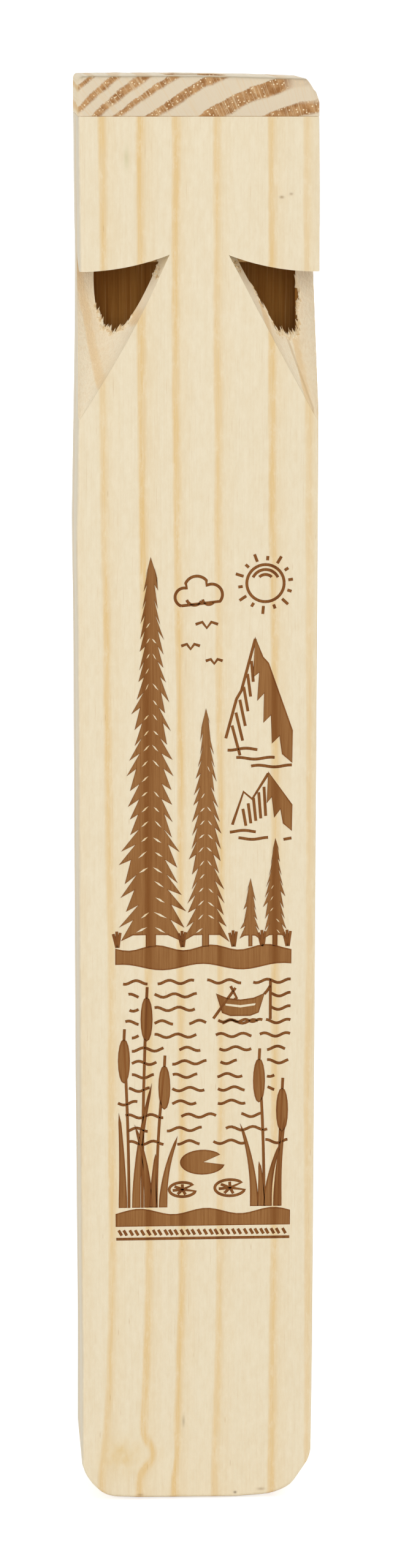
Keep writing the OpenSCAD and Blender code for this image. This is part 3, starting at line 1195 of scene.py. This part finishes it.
def drawBoat(fills, lines):
    hull = [(3.1, 83.9), (4.8, 83.1), (7.0, 82.8), (9.2, 83.1), (10.9, 83.9),
            (9.9, 80.8), (8.6, 80.3), (5.4, 80.3), (4.1, 80.8)]
    strake = [(4.5, 82.3), (7.0, 82.0), (9.5, 82.3), (9.4, 81.95), (7.0, 81.6), (4.6, 81.95)]
    fills.append([hull, strake])
    # oars, a mooring post with its rope, and a ripple
    lines += [[(5.4, 85.2), (6.4, 83.2), (6.0, 83.0)], [(6.2, 84.9), (2.6, 79.8)]]
    lines += [[(11.9, 79.6), (11.9, 86.4)], [(10.9, 83.8), (11.4, 84.4), (11.9, 85.2)]]
    lines.append(wavy(3.4, 10.6, 79.4, 0.2, 2.4))


def drawReeds(fills, lines):
    foot = picture["reedFoot"]
    turns = [i * picture["headTurn"] for i in range(picture["headPoints"])]
    for x, top, lean in picture["reeds"]:
        stem = [(x + lean * (i / 12) ** 2, foot + (top - foot) * i / 12) for i in range(13)]
        tipX, tipZ = stem[-1]
        lines.append(stem)
        lines.append([(tipX, tipZ), (tipX + 0.1, tipZ + 2.2)])
        head = [(tipX + 0.85 * math.cos(turn), tipZ - 3.2 + 3.6 * math.sin(turn)) for turn in turns]
        fills.append([head])
    foot, half, narrowing = picture["bladeFoot"], picture["bladeHalf"], picture["bladeNarrowing"]
    for x, top, lean in picture["blades"]:
        blade, back = [], []
        for part in [i / 10 for i in range(11)]:
            bow, z = lean * part ** 2, foot + (top - foot) * part
            blade.append((x - half + bow + narrowing * part, z))
            back.append((x + half + bow - narrowing * part, z))
        fills.append([blade + back[-2::-1]])


def drawBank(dice, fills, lines):
    left, right = picture["left"], picture["right"]
    for x, z, radius in picture["pads"]:
        pad = [(x, z)] + arc(x, z, radius, 40, 345, 28, picture["padFlat"])
        if radius > picture["burnedPad"]:
            fills.append([pad])
        else:
            lines.append(pad + [(x, z)])
            for turn in picture["veins"]:
                end = (x + 0.75 * radius * math.cos(turn), z + 0.41 * radius * math.sin(turn))
                lines.append([(x, z), end])
    # the near bank with a hatched edge and a border line
    ground = [(right, picture["bankFoot"]), (left, picture["bankFoot"])]
    fills.append([wavy(left, right, picture["bank"], 0.5, 11.0, 0.7) + ground])
    x = left + 0.4
    while x < right - 0.3:
        lines.append([(x, picture["hatchTop"]), (x + 0.5, picture["hatchFoot"])])
        x += dice.uniform(0.75, 1.05)
    lines.append([(left, picture["border"]), (right, picture["border"])])


def makePicture():
    dice = random.Random(picture["seed"])
    fills, lines = [], []
    for x, high, wide, branches in picture["spruces"]:
        fills.append(spruce(dice, x, picture["shore"], high, wide, branches))
    drawSky(lines)
    drawHills(fills, lines)
    drawShore(fills, lines)
    drawWater(dice, lines)
    drawBoat(fills, lines)
    drawReeds(fills, lines)
    drawBank(dice, fills, lines)
    shapes = [filledShape(outlines, "burn", layer) for layer, outlines in enumerate(fills)]
    burnt = joinAll(shapes, "burnedShapes")
    drawn = drawnLines(lines, "burnedLines", picture["line"])
    rims = drawnLines([outlines[0] for outlines in fills], "burnedRims", picture["rim"], True)
    for piece, finish in ((burnt, scorchFill), (drawn, scorchLine), (rims, scorchLine)):
        onlyFinish(piece, finish)
        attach(piece, "root")


makePicture()
print("picture made")


# floor, light and camera

studio = {
    "floorSize": 80.0, "floorHeight": -0.0002, "floorTone": (0.86, 0.86, 0.86, 1), "white": (1, 1, 1, 1),
    "glowFrom": 0.2, "glowTo": 2.5, "glowNear": 0.6, "glowFar": 0.85, "world": 0.37,
    # place, size and power of each light
    "keyBox": ((-0.2, -3.4, 0.9), 1.6, 39.0), "leftBox": ((-3.0, -0.9, 0.8), 1.5, 33.5),
    "rightBox": ((3.0, -0.9, 0.8), 1.5, 31.0), "backBox": ((0.4, 3.2, 1.3), 2.0, 47.0),
    "aim": (0, 0, 0.12),
}


def seenDirectly(tree):
    path = tree.nodes.new("ShaderNodeLightPath")
    seen = calc(tree, "MAXIMUM", path.outputs["Is Camera Ray"], path.outputs["Is Glossy Ray"])
    return calc(tree, "MAXIMUM", seen, path.outputs["Is Transmission Ray"])


def makeFloor():
    deselectAll()
    bpy.ops.mesh.primitive_plane_add(size=studio["floorSize"], location=(0, 0, studio["floorHeight"]))
    floor = bpy.context.object
    floor.name = "studioFloor"
    material, tree, shader = newFinish("floorPaper", 0.9, 0.0)
    shader.inputs["Base Color"].default_value = studio["floorTone"]
    shader.inputs["Emission Color"].default_value = studio["white"]
    # the paper brightens away from the object, which keeps its shadow
    coordinates = tree.nodes.new("ShaderNodeTexCoord")
    away = tree.nodes.new("ShaderNodeVectorMath")
    away.operation = "LENGTH"
    tree.links.new(coordinates.outputs["Object"], away.inputs[0])
    glow = spread(tree, away.outputs["Value"], studio["glowFrom"], studio["glowTo"],
                  studio["glowNear"], studio["glowFar"])
    tree.links.new(times(tree, seenDirectly(tree), glow), shader.inputs["Emission Strength"])
    floor.data.materials.append(material)


def makeRoom():
    world = bpy.data.worlds.new("softRoom")
    bpy.context.scene.world = world
    world.use_nodes = True
    tree = world.node_tree
    room = tree.nodes["Background"]
    room.inputs["Color"].default_value = studio["white"]
    tree.links.new(calc(tree, "MAXIMUM", seenDirectly(tree), studio["world"]), room.inputs["Strength"])


def softBox(name):
    stand, width, power = studio[name]
    lamp = bpy.data.lights.new(name, "AREA")
    lamp.shape = "SQUARE"
    lamp.size = width
    lamp.energy = power
    box = bpy.data.objects.new(name, lamp)
    bpy.context.collection.objects.link(box)
    box.location = stand
    box.rotation_mode = "QUATERNION"
    box.rotation_quaternion = (Vector(studio["aim"]) - Vector(stand)).to_track_quat("-Z", "Y")


makeFloor()
makeRoom()
for name in ("keyBox", "leftBox", "rightBox", "backBox"):
    softBox(name)

view = {
    "place": (-40.7 * mm, -707.7 * mm, 250.6 * mm), "yaw": 3.387, "pitch": 10.549, "roll": 0.101,
    "focalPixels": 7159, "framePixels": 2560, "sensor": 36, "nearest": 0.01, "farthest": 50,
}
yaw, pitch, roll = (math.radians(view[key]) for key in ("yaw", "pitch", "roll"))
ahead = Vector((math.sin(yaw) * math.cos(pitch), math.cos(yaw) * math.cos(pitch), -math.sin(pitch)))
level = Vector((math.cos(yaw), -math.sin(yaw), 0))
upright = level.cross(ahead)
sideways = level * math.cos(roll) + upright * math.sin(roll)
upward = upright * math.cos(roll) - level * math.sin(roll)
lens = bpy.data.cameras.new("photoCamera")
lens.sensor_width = view["sensor"]
lens.lens = view["focalPixels"] * view["sensor"] / view["framePixels"]
lens.clip_start, lens.clip_end = view["nearest"], view["farthest"]
camera = bpy.data.objects.new("photoCamera", lens)
bpy.context.collection.objects.link(camera)
turned = Matrix((sideways, upward, -ahead)).transposed().to_4x4()
camera.matrix_world = Matrix.Translation(view["place"]) @ turned
bpy.context.scene.camera = camera
bpy.context.scene.view_settings.view_transform = "Standard"
print("studio ready")
